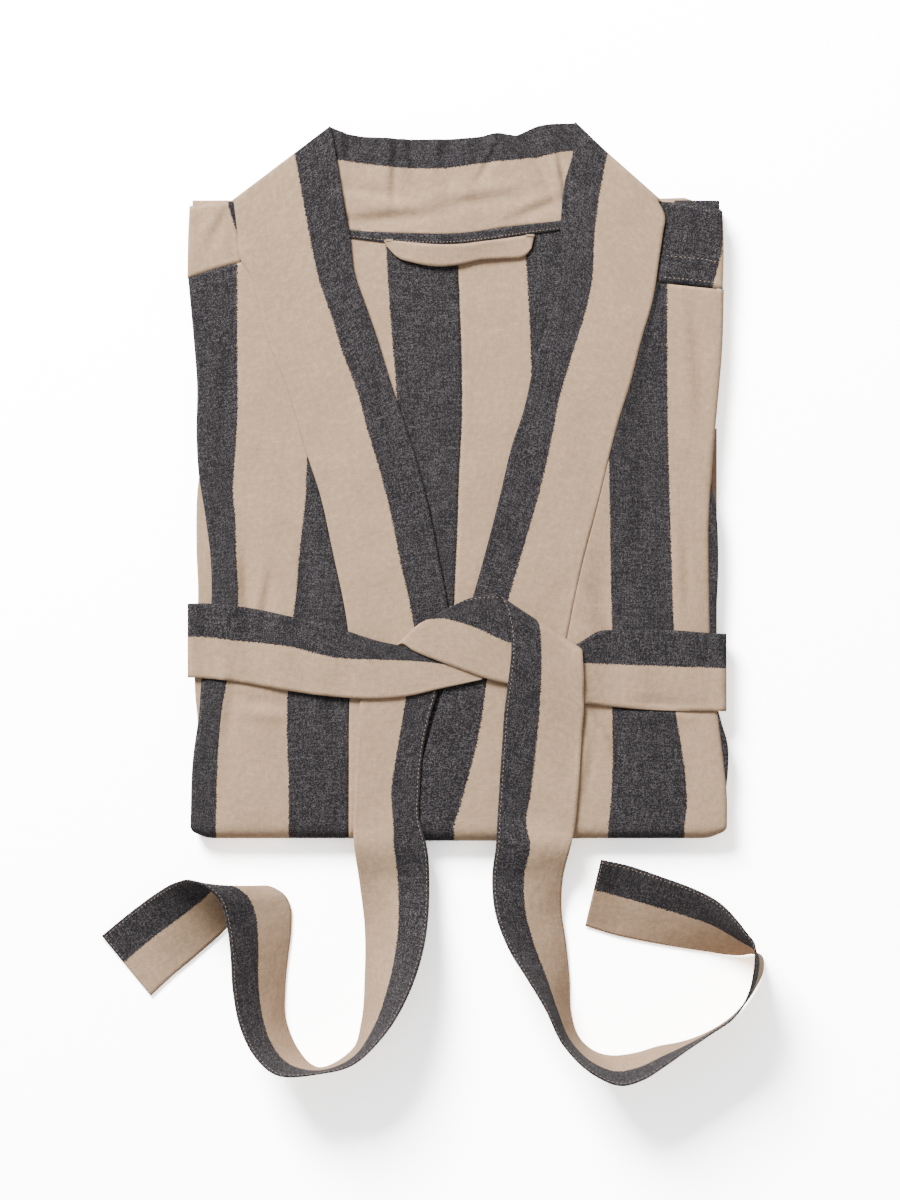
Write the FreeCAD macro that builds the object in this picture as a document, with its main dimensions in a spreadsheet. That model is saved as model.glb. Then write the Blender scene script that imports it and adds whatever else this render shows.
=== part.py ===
"""Folded kimono bathrobe tied with its belt: every piece of cloth as a plain closed solid, in millimetres.

The robe lies face up and folded in half. Its upper half, the torso, is on top; its lower half, the skirt,
is folded up underneath, and both have their sides folded in behind. +X is to the right seen from the front,
+Y runs from the waist to the collar, and +Z points up. The origin is on the underside, where the robe rests.
"""
import FreeCAD, Part
import math
import os
import re
import Sketcher

DIMENSIONS = {
    # Cloth leaves, stacked as mirror images above and below the middle plane.
    "ply": 1.2,
    "pitch": 1.8,
    "core": 3.2,
    "middle": 11.0,
    # Outer size of the folded robe.
    "half_width": 202.2,
    "fold": 241.2,
    "shoulder": 240.0,
    "hem": 238.0,
    "side_seam": 60.0,
    # Neckline: height of the back neck seam, and the two ends of the seam at neck and shoulder.
    "neck": 216.0,
    "neck_left": 81.0,
    "neck_right": 77.0,
    "collar_left": 168.0,
    "collar_right": 150.0,
    # Heights of the forward shoulder seams, at the neckband and at the side.
    "yoke_left_inner": 193.0,
    "yoke_left_outer": 187.0,
    "yoke_right_inner": 178.0,
    "yoke_right_outer": 173.0,
    # Where the neckband's seams and free edges cross the chest, the middle and the waist.
    "chest": 100.0,
    "waist": 97.0,
    "left_seam_yoke": 161.0,
    "left_seam_chest": 129.0,
    "left_seam_middle": 98.0,
    "left_seam_waist": 82.0,
    "left_seam_hem": 34.0,
    "left_edge_yoke": 77.0,
    "left_edge_chest": 50.0,
    "left_edge_middle": 20.0,
    "left_edge_waist": 2.0,
    "left_edge_fold": 22.0,
    "left_edge_hem": 45.0,
    "right_seam_yoke": 149.0,
    "right_seam_chest": 128.0,
    "right_seam_middle": 102.0,
    "right_seam_waist": 79.0,
    "right_seam_fold": 56.0,
    "right_edge_yoke": 78.0,
    "right_edge_chest": 53.0,
    "right_edge_middle": 27.0,
    "right_edge_fold": 43.0,
    "right_edge_hem": 23.0,
    # Hanger loop and the tape over the neck seam.
    "tape_height": 6.0,
    "tape_thick": 1.0,
    "loop_half": 57.0,
    "loop_width": 17.5,
    "loop_top": 209.5,
    "loop_thick": 1.2,
    "loop_rise": 4.7,
    "loop_end": 11.0,
    # Sleeves, pockets and belt loops.
    "sleeve_inner": 12.0,
    "sleeve_outer": 194.0,
    "sleeve_low": 225.0,
    "sleeve_high": 205.0,
    "sleeve_floor": 8.6,
    "sleeve_thick": 2.0,
    "sleeve_corner": 12.0,
    "pocket_inner": 72.0,
    "pocket_outer": 196.0,
    "pocket_low": 95.0,
    "pocket_high": 70.0,
    "pocket_thick": 1.3,
    "belt_loop_half": 6.0,
    "belt_loop_thick": 0.5,
    "belt_loop_floor": 11.2,
    "belt_loop_foot": 3.0,
    "bartack_thick": 0.5,
    # Belt.
    "belt_thick": 1.6,
    "belt_width": 58.0,
    "belt_out": 204.1,
    "belt_back_floor": 11.9,
    "belt_floor": 22.2,
    "belt_left_top": 60.0,
    "belt_left_low": 118.0,
    "belt_right_top": 85.0,
    "belt_right_low": 143.5,
    "knot_floor": 24.0,
    "knot_band_thick": 5.0,
    "knot_loop_thick": 7.0,
    "tail_start": 241.5,
    "thread": 0.6,
}

# The belt's two loose tails: at each station the plain edge and the striped edge, as (x, y, z).
LEFT_TAIL = [
    ((-78.0, -241.8, 23.0), (-24.0, -241.8, 23.0)),
    ((-74.0, -273.0, 13.0), (-21.5, -270.0, 21.0)),
    ((-70.0, -309.0, 5.0), (-25.0, -316.0, 36.0)),
    ((-70.0, -343.5, 3.0), (-37.0, -352.5, 49.0)),
    ((-72.5, -378.0, 2.0), (-56.0, -383.0, 56.5)),
    ((-79.0, -399.0, 1.8), (-76.0, -402.0, 59.0)),
    ((-104.0, -413.5, 1.8), (-101.0, -409.5, 59.0)),
    ((-122.0, -398.0, 1.8), (-134.0, -411.0, 57.0)),
    ((-130.0, -378.0, 1.8), (-149.0, -400.0, 51.5)),
    ((-130.5, -352.0, 1.8), (-162.0, -377.0, 43.5)),
    ((-128.5, -330.0, 1.8), (-167.5, -350.0, 40.0)),
    ((-126.0, -308.0, 1.8), (-169.5, -322.0, 37.5)),
    ((-126.5, -292.0, 2.0), (-172.0, -303.0, 37.0)),
    ((-133.0, -281.0, 3.0), (-177.0, -284.0, 41.0)),
    ((-147.0, -276.0, 3.5), (-187.0, -273.0, 45.0)),
    ((-161.0, -285.0, 2.5), (-199.0, -268.5, 42.0)),
    ((-171.0, -303.0, 2.0), (-210.0, -271.0, 31.0)),
    ((-197.0, -328.0, 1.8), (-227.0, -280.5, 18.0)),
    ((-216.0, -344.0, 1.8), (-249.0, -297.0, 8.0)),
    ((-232.0, -359.0, 1.8), (-269.0, -313.5, 3.0)),
]
RIGHT_TAIL = [
    ((85.0, -241.8, 24.8), (28.5, -241.8, 24.8)),
    ((79.0, -268.0, 14.0), (25.5, -268.0, 24.0)),
    ((78.0, -294.0, 5.5), (28.0, -294.0, 34.0)),
    ((81.5, -320.0, 3.0), (38.0, -320.0, 41.0)),
    ((84.0, -346.0, 2.0), (51.5, -341.0, 49.5)),
    ((85.0, -371.0, 1.8), (65.0, -363.0, 56.0)),
    ((91.0, -390.0, 1.8), (78.0, -389.0, 58.0)),
    ((103.0, -401.0, 1.8), (98.0, -409.0, 58.5)),
    ((117.0, -404.5, 1.8), (119.0, -418.5, 58.0)),
    ((134.0, -402.5, 1.8), (136.0, -414.5, 58.5)),
    ((151.0, -397.5, 1.8), (152.0, -404.5, 59.0)),
    ((169.0, -394.0, 1.8), (168.0, -393.0, 59.5)),
    ((188.0, -387.0, 1.8), (185.0, -381.5, 59.0)),
    ((209.0, -373.0, 1.8), (204.0, -368.0, 59.0)),
    ((224.0, -354.0, 1.8), (215.0, -350.0, 58.5)),
    ((230.5, -339.0, 1.8), (218.5, -335.0, 58.0)),
    ((229.0, -328.5, 1.8), (219.5, -323.5, 58.5)),
    ((222.5, -327.0, 1.8), (219.0, -314.5, 58.0)),
    ((214.0, -328.0, 1.8), (213.0, -306.0, 55.0)),
    ((183.0, -324.5, 1.8), (194.0, -285.0, 42.5)),
    ((160.0, -321.0, 1.8), (177.0, -276.0, 34.5)),
    ((138.0, -317.0, 1.8), (152.0, -267.0, 28.5)),
    ((119.0, -313.0, 1.8), (129.0, -259.5, 22.0)),
    ((96.0, -306.0, 1.8), (107.0, -254.5, 25.0)),
]
# Stations at which each tail is divided into its drop, its bend and its end.
LEFT_TAIL_CUTS = [0, 4, 11, 19]
RIGHT_TAIL_CUTS = [0, 5, 13, 23]
TAIL_PIECES = ["drop", "bend", "end"]

doc = FreeCAD.newDocument("Bathrobe")
sheet = doc.addObject("Spreadsheet::Sheet", "Dimensions")
for row, (alias, size) in enumerate(DIMENSIONS.items(), start=1):
    sheet.set(f"A{row}", alias)
    sheet.set(f"B{row}", str(size))
    sheet.setAlias(f"B{row}", alias)
doc.recompute()

NODES = []


def linked(expression):
    """The expression with each dimension's name pointed at the sheet."""
    return re.sub(r"[a-z]\w*", lambda name: "Dimensions." + name.group(), expression)


def new_body(label):
    """An empty body that becomes one node."""
    body = doc.addObject("PartDesign::Body", label)
    body.Label = label
    NODES.append(body)
    return body


def origin_plane(body, role):
    """One of the body's own origin planes."""
    return next(feature for feature in body.Origin.OriginFeatures if feature.Role == role)


def outline_sketch(body, name, plane, outline, offset):
    """A closed outline whose corners are bound to the sheet, on an origin plane moved by offset."""
    sketch = body.newObject("Sketcher::SketchObject", name)
    sketch.AttachmentSupport = [(origin_plane(body, plane), "")]
    sketch.MapMode = "FlatFace"
    sketch.setExpression("AttachmentOffset.Base.z", linked(offset))
    count = len(outline)
    turn = 2 * math.pi / count
    ring = [FreeCAD.Vector(math.cos(turn * i), math.sin(turn * i), 0) for i in range(count)]
    for i in range(count):
        sketch.addGeometry(Part.LineSegment(ring[i], ring[(i + 1) % count]), False)
    for i in range(count):
        sketch.addConstraint(Sketcher.Constraint("Coincident", i, 2, (i + 1) % count, 1))
    for i, (across, along) in enumerate(outline):
        for kind, expression, start in (("DistanceX", across, ring[i].x), ("DistanceY", along, ring[i].y)):
            index = sketch.addConstraint(Sketcher.Constraint(kind, -1, 1, i, 1, start))
            sketch.setExpression(f"Constraints[{index}]", linked(expression))
    return sketch


def plate(body, name, outline, bottom, top):
    """A flat leaf of cloth, or an upright turn of it, added to the body between two heights."""
    sketch = outline_sketch(body, f"{body.Label}_{name}_outline", "XY_Plane", outline, bottom)
    pad = body.newObject("PartDesign::Pad", f"{body.Label}_{name}")
    pad.Profile = sketch
    pad.setExpression("Length", linked(f"({top}) - ({bottom})"))
    sketch.Visibility = False
    return pad


def block(x_low, x_high, y_low, y_high):
    """The outline of a rectangle."""
    return [(x_low, y_low), (x_high, y_low), (x_high, y_high), (x_low, y_high)]


def leaf(number):
    """Distance from the middle plane to the centre of a leaf: 0 is innermost, 4 is outermost."""
    return f"core + {number} * pitch"


def above(number):
    """Lowest and highest level of a torso leaf."""
    return f"middle + {leaf(number)} - ply / 2", f"middle + {leaf(number)} + ply / 2"


def below(number):
    """Lowest and highest level of a skirt leaf."""
    return f"middle - ({leaf(number)}) - ply / 2", f"middle - ({leaf(number)}) + ply / 2"


def side_fold(body, name, sign, width, start, end_torso, end_skirt, inner, outer):
    """Both side folds of a panel on one side: an upright turn and the leaf tucked in behind it."""
    wall = block(f"{sign}({width})", f"{sign}({width} - ply)", f"-({start})", end_torso)
    tuck = block(f"{sign}({width})", f"{sign}side_seam", "-(fold - 3 * pitch)", end_torso)
    plate(body, name + "_torso_turn", wall, above(inner)[0], above(outer)[1])
    plate(body, name + "_torso_tuck", tuck, *above(inner))
    wall = block(f"{sign}({width})", f"{sign}({width} - ply)", f"-({start})", end_skirt)
    tuck = block(f"{sign}({width})", f"{sign}side_seam", "-(fold - 3 * pitch)", end_skirt)
    plate(body, name + "_skirt_turn", wall, below(outer)[0], below(inner)[1])
    plate(body, name + "_skirt_tuck", tuck, *below(inner))


def bottom_fold(body, x_low, x_high, depth, number):
    """The turn at the bottom fold that joins a torso leaf to its skirt leaf."""
    wall = block(x_low, x_high, f"-({depth})", f"-({depth} - ply)")
    plate(body, "fold", wall, below(number)[0], above(number)[1])


def make_back_panel():
    """Back panel: torso and skirt leaves, its tucked sides, and the two flaps over the shoulders."""
    body = new_body("back_panel")
    width = "half_width - pitch"
    depth = "fold - 2 * pitch"
    torso = [
        (f"-({width})", f"-({depth})"), (width, f"-({depth})"), (width, "shoulder"),
        ("collar_right", "shoulder"), ("neck_right", "neck"), ("-neck_left", "neck"),
        ("-collar_left", "shoulder"), (f"-({width})", "shoulder"),
    ]
    plate(body, "torso", torso, *above(2))
    bottom_fold(body, f"-({width})", width, depth, 2)
    plate(body, "skirt", block(f"-({width})", width, f"-({depth})", "hem"), *below(2))
    for name, sign in (("left", "-"), ("right", "")):
        side_fold(body, name, sign, width, depth, "neck", "hem", 1, 2)
    ridge = "shoulder + ply"
    for name, sign, collar, seam, inner, outer in (
        ("left", "-", "collar_left", "left_seam_yoke", "yoke_left_inner", "yoke_left_outer"),
        ("right", "", "collar_right", "right_seam_yoke", "yoke_right_inner", "yoke_right_outer"),
    ):
        turn = block(f"{sign}({width})", f"{sign}{collar}", "shoulder", ridge)
        plate(body, name + "_shoulder_turn", turn, above(2)[0], above(3)[1])
        flap = [
            (f"{sign}({width})", ridge), (f"{sign}{collar}", ridge),
            (f"{sign}{seam}", inner), (f"{sign}({width})", outer),
        ]
        plate(body, name + "_shoulder_flap", flap, *above(3))


def make_front(side, sign, torso, skirt, yoke):
    """A front panel: torso leaf, bottom fold, skirt leaf and tucked side."""
    body = new_body(f"{side}_front")
    depth = "fold - pitch"
    plate(body, "torso", torso, *above(3))
    x_low, x_high = torso[0][0], torso[1][0]
    bottom_fold(body, x_low, x_high, depth, 3)
    plate(body, "skirt", skirt, *below(3))
    side_fold(body, "side", sign, "half_width", depth, yoke, "hem", 0, 3)


def make_fronts():
    """The two front panels, out to the side folds and in to the neckband's seams."""
    depth = "-(fold - pitch)"
    left_torso = [
        ("-half_width", depth), ("-left_seam_waist", depth), ("-left_seam_waist", "-waist"),
        ("-left_seam_middle", "0"), ("-left_seam_chest", "chest"),
        ("-left_seam_yoke", "yoke_left_inner - 0.4"), ("-half_width", "yoke_left_outer - 0.4"),
    ]
    left_skirt = [
        ("-half_width", depth), ("-left_seam_waist", depth),
        ("-left_seam_hem", "hem"), ("-half_width", "hem"),
    ]
    make_front("left", "-", left_torso, left_skirt, "yoke_left_outer - 0.4")
    right_torso = [
        ("right_seam_fold", depth), ("half_width", depth), ("half_width", "yoke_right_outer - 0.4"),
        ("right_seam_yoke", "yoke_right_inner - 0.4"), ("right_seam_chest", "chest"),
        ("right_seam_middle", "0"), ("right_seam_waist", "-waist"),
    ]
    right_skirt = [
        ("right_seam_fold", depth), ("half_width", depth), ("half_width", "hem"), ("right_seam_fold", "hem"),
    ]
    make_front("right", "", right_torso, right_skirt, "yoke_right_outer - 0.4")


def make_neckband():
    """The neckband: its two legs down the fronts and the run round the back of the neck."""
    depth = "-(fold - pitch)"
    left = new_body("neckband_left")
    plate(left, "torso", [
        ("-left_seam_waist", depth), ("left_edge_fold", depth), ("-left_edge_waist", "-waist"),
        ("-left_edge_middle", "0"), ("-left_edge_chest", "chest"), ("-left_edge_yoke", "yoke_left_inner"),
        ("-86", "shoulder"), ("-96", "shoulder + 57"), ("-109", "shoulder + 48"),
        ("-collar_left", "shoulder + ply"), ("-left_seam_yoke", "yoke_left_inner"),
        ("-left_seam_chest", "chest"), ("-left_seam_middle", "0"), ("-left_seam_waist", "-waist"),
    ], *above(3))
    bottom_fold(left, "-left_seam_waist", "left_edge_fold", "fold - pitch", 3)
    plate(left, "skirt", [
        ("-left_seam_waist", depth), ("left_edge_fold", depth),
        ("left_edge_hem", "hem"), ("-left_seam_hem", "hem"),
    ], *below(3))

    right = new_body("neckband_right")
    plate(right, "torso", [
        ("-right_edge_fold", "-fold"), ("right_seam_fold", "-fold"), ("right_seam_waist", "-waist"),
        ("right_seam_middle", "0"), ("right_seam_chest", "chest"), ("right_seam_yoke", "yoke_right_inner"),
        ("collar_right + 5", "shoulder - 12"), ("collar_right", "shoulder + ply"),
        ("110", "shoulder + 35"), ("87", "shoulder + 59"), ("79", "shoulder"),
        ("right_edge_yoke", "yoke_right_inner"), ("right_edge_chest", "chest"),
        ("right_edge_middle", "0"), ("0", "-waist"),
    ], *above(4))
    bottom_fold(right, "-right_edge_fold", "right_seam_fold", "fold", 4)
    plate(right, "skirt", [
        ("-right_edge_fold", "-fold"), ("right_seam_fold", "-fold"),
        ("right_seam_fold", "hem"), ("-right_edge_hem", "hem"),
    ], *below(4))

    back = new_body("neckband_back")
    plate(back, "run", [
        ("-collar_left", "shoulder"), ("-neck_left", "neck"), ("neck_right", "neck"),
        ("collar_right", "shoulder"), ("110", "shoulder + 35"), ("87", "shoulder + 59"),
        ("40", "shoulder + 48"), ("-11", "shoulder + 46"), ("-86", "shoulder + 51"),
        ("-96", "shoulder + 57"), ("-109", "shoulder + 48"),
    ], *above(2))


def make_neck_tape():
    """Tape that covers the back neck seam."""
    body = new_body("neck_tape")
    floor = above(2)[1]
    strip = block("-(neck_left - 1)", "neck_right - 1", "neck - tape_height", "neck + 0.5")
    plate(body, "strip", strip, floor, f"{floor} + tape_thick")


def make_hanger_loop():
    """Hanger loop: a flat strip with sewn ends whose middle stands off the back panel."""
    body = new_body("hanger_loop")
    low = f"{above(2)[1]} + 0.3"
    high = f"{low} + loop_rise"
    shoulder = "loop_half - loop_end"
    crown = "loop_half - 2 * loop_end"
    profile = [
        ("-loop_half", low), (f"-({shoulder})", low), (f"-({crown})", high), (crown, high),
        (shoulder, low), ("loop_half", low), ("loop_half", f"{low} + loop_thick"),
        (f"{shoulder} + 0.5", f"{low} + loop_thick"), (f"{crown} + 0.5", f"{high} + loop_thick"),
        (f"-({crown} + 0.5)", f"{high} + loop_thick"), (f"-({shoulder} + 0.5)", f"{low} + loop_thick"),
        ("-loop_half", f"{low} + loop_thick"),
    ]
    sketch = outline_sketch(body, "hanger_loop_profile", "XZ_Plane", profile, "-loop_top")
    pad = body.newObject("PartDesign::Pad", "hanger_loop_strip")
    pad.Profile = sketch
    pad.setExpression("Length", linked("loop_width"))
    sketch.Visibility = False


def make_sleeves():
    """Sleeves: flattened tubes that lie folded down between torso and skirt."""
    for side, sign in (("left", "-"), ("right", "")):
        body = new_body(f"{side}_sleeve")
        outline = block(f"{sign}sleeve_inner", f"{sign}sleeve_outer", "-sleeve_low", "sleeve_high")
        pad = plate(body, "tube", outline, "sleeve_floor", "sleeve_floor + sleeve_thick")
        doc.recompute()
        corners = [
            f"Edge{i}" for i, edge in enumerate(pad.Shape.Edges, start=1)
            if abs(edge.tangentAt(edge.FirstParameter).z) > 0.99
        ]
        fillet = body.newObject("PartDesign::Fillet", f"{side}_sleeve_corners")
        fillet.Base = (pad, corners)
        fillet.setExpression("Radius", linked("sleeve_corner"))


def make_pockets():
    """Patch pockets on the skirt's outer face, which lies underneath."""
    top = below(3)[0]
    for side, sign in (("left", "-"), ("right", "")):
        body = new_body(f"{side}_pocket")
        outline = block(f"{sign}pocket_inner", f"{sign}pocket_outer", "-pocket_low", "pocket_high")
        plate(body, "patch", outline, f"{top} - pocket_thick", top)
    tacks = new_body_group("pocket_bartacks")
    for side, sign in (("left", "-"), ("right", "")):
        for name, place in (("inner", "pocket_inner + 2"), ("outer", "pocket_outer - 8")):
            tack(tacks, f"{side}_{name}", f"{sign}({place})", f"{sign}({place} + 6)",
                 "pocket_high - 4", "pocket_high - 1", f"{top} - pocket_thick - bartack_thick")
    finish_group(tacks)


def new_body_group(label):
    """A group of small separate solids that becomes one node."""
    group = doc.addObject("Part::Compound", label)
    group.Label = label
    NODES.append(group)
    return group


def tack(group, name, x_low, x_high, y_low, y_high, floor):
    """A bar tack: a short raised bar of close stitches."""
    bar = doc.addObject("Part::Box", f"{group.Label}_{name}")
    left = f"min({x_low}; {x_high})"
    bar.setExpression("Length", bind(f"abs(({x_high}) - ({x_low}))"))
    bar.setExpression("Width", bind(f"({y_high}) - ({y_low})"))
    bar.setExpression("Height", bind("bartack_thick"))
    bar.setExpression("Placement.Base.x", bind(left))
    bar.setExpression("Placement.Base.y", bind(y_low))
    bar.setExpression("Placement.Base.z", bind(floor))
    group.Links = group.Links + [bar]


def bind(expression):
    """Linked expression that may use the sheet's own functions."""
    text = linked(expression)
    return text.replace("Dimensions.min", "min").replace("Dimensions.abs", "abs")


def finish_group(group):
    """Hide the pieces of a group, so that only the group itself is a node."""
    for piece in group.Links:
        piece.Visibility = False


def make_belt_loops():
    """Belt loops at the side seams, under the belt's run across the back."""
    tacks = new_body_group("belt_loop_bartacks")
    for side, sign, high, low in (("left", "-", "63.5", "133"), ("right", "", "71", "141")):
        body = new_body(f"{side}_belt_loop")
        inner = f"{sign}(side_seam - belt_loop_half)"
        outer = f"{sign}(side_seam + belt_loop_half)"
        top = "belt_loop_floor + belt_loop_thick"
        plate(body, "strap", block(inner, outer, f"-{low}", f"-{high}"), "belt_loop_floor", top)
        for name, start, end in (
            ("lower_foot", f"-{low}", f"-{low} + belt_loop_foot"),
            ("upper_foot", f"-{high} - belt_loop_foot", f"-{high}"),
        ):
            plate(body, name, block(inner, outer, start, end), top, above(0)[0])
            tack(tacks, f"{side}_{name}", f"{sign}(side_seam - 4)", f"{sign}(side_seam + 4)",
                 f"{start} + 0.5", f"{end} - 0.5", "belt_loop_floor - bartack_thick")
    finish_group(tacks)


def make_belt():
    """The belt's runs round the waist, its knot, and the first stretch of each tail on top of the robe."""
    top = "belt_floor + belt_thick"
    back_top = "belt_back_floor + belt_thick - 0.1"
    left = new_body("belt_left_run")
    plate(left, "front", [
        ("-belt_out", "-belt_left_top"), ("-belt_out", "-belt_left_low"), ("-62", "-134"),
        ("-12", "-127"), ("15", "-118"), ("-12", "-104"), ("-38", "-95"), ("-120", "-77"),
    ], "belt_floor", top)
    plate(left, "side", block("-belt_out", "-(belt_out - belt_thick)", "-belt_left_low", "-belt_left_top"),
          "belt_back_floor", top)
    right = new_body("belt_right_run")
    plate(right, "front", [
        ("46", "-92"), ("46", "-128"), ("94", "-138"), ("belt_out", "-belt_right_low"),
        ("belt_out", "-belt_right_top"), ("94", "-84"),
    ], "belt_floor", top)
    plate(right, "side", block("belt_out", "belt_out - belt_thick", "-belt_right_low", "-belt_right_top"),
          "belt_back_floor", top)
    back = new_body("belt_back_run")
    reach = "belt_out - belt_thick"
    plate(back, "run", [
        (f"-({reach})", "-belt_left_low"), (reach, "-belt_right_low"),
        (reach, "-belt_right_top"), (f"-({reach})", "-belt_left_top"),
    ], "belt_back_floor", back_top)
    band = new_body("knot_band")
    plate(band, "wrap", [
        ("-43", "-90"), ("-19", "-104"), ("5", "-112.5"), ("35", "-121"), ("39", "-90"),
        ("37", "-69"), ("22", "-56"), ("-2", "-64"), ("-13", "-74"),
    ], "knot_floor", "knot_floor + knot_band_thick")
    loop = new_body("knot_loop")
    plate(loop, "wrap", [
        ("37.5", "-61"), ("37.5", "-69"), ("39.5", "-90"), ("36", "-118"), ("94", "-137"),
        ("93.5", "-108"), ("89.5", "-94"), ("57.5", "-73"),
    ], "knot_floor", "knot_floor + knot_loop_thick")
    left_top = new_body("left_tail_top")
    plate(left_top, "strap", [
        ("-73", "-136"), ("-77", "-193"), ("-78", "-tail_start"), ("-24", "-tail_start"),
        ("-26", "-200"), ("-16", "-132"),
    ], "belt_floor", top)
    right_top = new_body("right_tail_top")
    plate(right_top, "strap", [
        ("36", "-118.5"), ("31", "-200"), ("28.5", "-tail_start"), ("85", "-tail_start"),
        ("91", "-200"), ("94", "-137.5"),
    ], "knot_floor", "knot_floor + belt_thick")


def ribbon(label, stations, before, after):
    """A stretch of flat strap through the given stations; before and after are its neighbours."""
    thick = sheet.get("belt_thick")
    path = [before] + stations + [after]
    middles = [(FreeCAD.Vector(*plain) + FreeCAD.Vector(*striped)) * 0.5 for plain, striped in path]
    sections = []
    for i, (plain, striped) in enumerate(stations, start=1):
        low = FreeCAD.Vector(*plain)
        high = FreeCAD.Vector(*striped)
        normal = (middles[i + 1] - middles[i - 1]).cross(high - low)
        normal.normalize()
        step = normal * (thick / 2)
        sections.append([low - step, high - step, high + step, low + step, low - step])
    faces = [Part.Face(Part.makePolygon(sections[0])), Part.Face(Part.makePolygon(sections[-1]))]
    for near, far in zip(sections, sections[1:]):
        for k in range(4):
            faces.append(Part.makeRuledSurface(
                Part.makeLine(near[k], near[k + 1]), Part.makeLine(far[k], far[k + 1])))
    shell = Part.makeShell(faces)
    shell.sewShape()
    solid = Part.makeSolid(shell)
    if solid.Volume < 0:
        solid.reverse()
    feature = doc.addObject("Part::Feature", label)
    feature.Label = label
    feature.Shape = solid
    feature.Placement = FreeCAD.Placement()
    NODES.append(feature)


def make_tail(side, stations, cuts):
    """One loose tail of the belt, in pieces that meet face to face."""
    for piece, first, last in zip(TAIL_PIECES, cuts, cuts[1:]):
        before = stations[max(first - 1, 0)]
        after = stations[min(last + 1, len(stations) - 1)]
        ribbon(f"{side}_tail_{piece}", stations[first:last + 1], before, after)


def seam_thread(body, name, inset, line, floor):
    """A row of topstitching along a line of corners, as one thin raised thread."""
    near = [(f"{x} - thread / 2 + {inset}", y) for x, y in line]
    far = [(f"{x} + thread / 2 + {inset}", y) for x, y in reversed(line)]
    plate(body, name, near + far, floor, f"{floor} + thread / 2")


def make_stitching():
    """Topstitching along the neckband's seams and the forward shoulder seams."""
    left = new_body("neckband_left_stitching")
    seam_thread(left, "row", "3", [
        ("-left_seam_middle", "0"), ("-left_seam_chest", "chest"), ("-left_seam_yoke", "yoke_left_inner"),
        ("-collar_left", "shoulder"),
    ], above(3)[1])
    right = new_body("neckband_right_stitching")
    seam_thread(right, "row", "-3", [
        ("right_seam_middle", "0"), ("right_seam_chest", "chest"), ("right_seam_yoke", "yoke_right_inner"),
        ("collar_right + 5", "shoulder - 12"),
    ], above(4)[1])
    for side, sign, start, end, inner, outer in (
        ("left", "-", "left_seam_yoke + 6", "half_width - 6", "yoke_left_inner", "yoke_left_outer"),
        ("right", "", "right_seam_yoke + 10", "half_width - 6", "yoke_right_inner", "yoke_right_outer"),
    ):
        body = new_body(f"{side}_shoulder_stitching")
        plate(body, "row", [
            (f"{sign}({start})", f"{inner} + 8"), (f"{sign}({end})", f"{outer} + 8"),
            (f"{sign}({end})", f"{outer} + 8 + thread"), (f"{sign}({start})", f"{inner} + 8 + thread"),
        ], above(3)[1], f"{above(3)[1]} + thread / 2")


def make_loop_bartacks():
    """Bar tacks that hold the hanger loop's ends under the neck tape."""
    tacks = new_body_group("hanger_loop_bartacks")
    for side, sign in (("left", "-"), ("right", "")):
        tack(tacks, side, f"{sign}(loop_half - 8)", f"{sign}(loop_half - 2)",
             "neck - tape_height + 1.5", "neck - 1", f"{above(2)[1]} + tape_thick")
    finish_group(tacks)


make_back_panel()
make_fronts()
make_neckband()
make_neck_tape()
make_hanger_loop()
make_loop_bartacks()
make_sleeves()
make_pockets()
make_belt_loops()
make_belt()
make_tail("left", LEFT_TAIL, LEFT_TAIL_CUTS)
make_tail("right", RIGHT_TAIL, RIGHT_TAIL_CUTS)
make_stitching()
doc.recompute()

for item in doc.Objects:
    if "Invalid" in item.State or "Error" in item.State:
        raise RuntimeError(f"{item.Label} failed: {item.State}")
for node in NODES:
    if node.Shape.isNull() or not node.Shape.isValid():
        raise RuntimeError(f"{node.Label} has no valid shape")

os.makedirs("parts", exist_ok=True)
for node in NODES:
    node.Shape.exportStep(f"parts/{node.Label}.step")
    box = node.Shape.BoundBox
    print(f"{node.Label}: {len(node.Shape.Solids)} solids, {node.Shape.Volume:.0f} mm3, "
          f"z {box.ZMin:.2f} to {box.ZMax:.2f}")
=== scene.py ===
"""A folded striped bathrobe with its belt tied, lying on a white floor and seen from straight above.

Lengths in the tables are in millimetres. X runs across the robe, Y up towards its collar
and Z up off the floor.
"""

import math

import bpy
import numpy as np
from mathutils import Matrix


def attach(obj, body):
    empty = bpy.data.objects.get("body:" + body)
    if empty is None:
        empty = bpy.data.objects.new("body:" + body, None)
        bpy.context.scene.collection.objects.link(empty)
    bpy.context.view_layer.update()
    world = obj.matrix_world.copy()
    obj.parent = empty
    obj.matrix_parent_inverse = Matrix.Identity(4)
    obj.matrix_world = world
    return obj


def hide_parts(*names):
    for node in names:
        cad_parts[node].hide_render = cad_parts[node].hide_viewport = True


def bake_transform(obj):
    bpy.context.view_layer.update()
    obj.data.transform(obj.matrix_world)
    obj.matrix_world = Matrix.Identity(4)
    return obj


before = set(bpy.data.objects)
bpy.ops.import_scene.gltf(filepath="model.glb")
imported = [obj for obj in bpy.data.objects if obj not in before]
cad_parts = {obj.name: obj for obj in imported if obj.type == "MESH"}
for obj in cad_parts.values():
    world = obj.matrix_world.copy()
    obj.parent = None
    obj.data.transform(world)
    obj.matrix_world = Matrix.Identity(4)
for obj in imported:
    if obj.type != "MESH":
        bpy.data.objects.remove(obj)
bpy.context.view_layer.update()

MM = 0.001
# Stripes: one repeat of dark and sand yarn, and the part of it that is dark.
REPEAT = 108.75
DARK = 54.75
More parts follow.
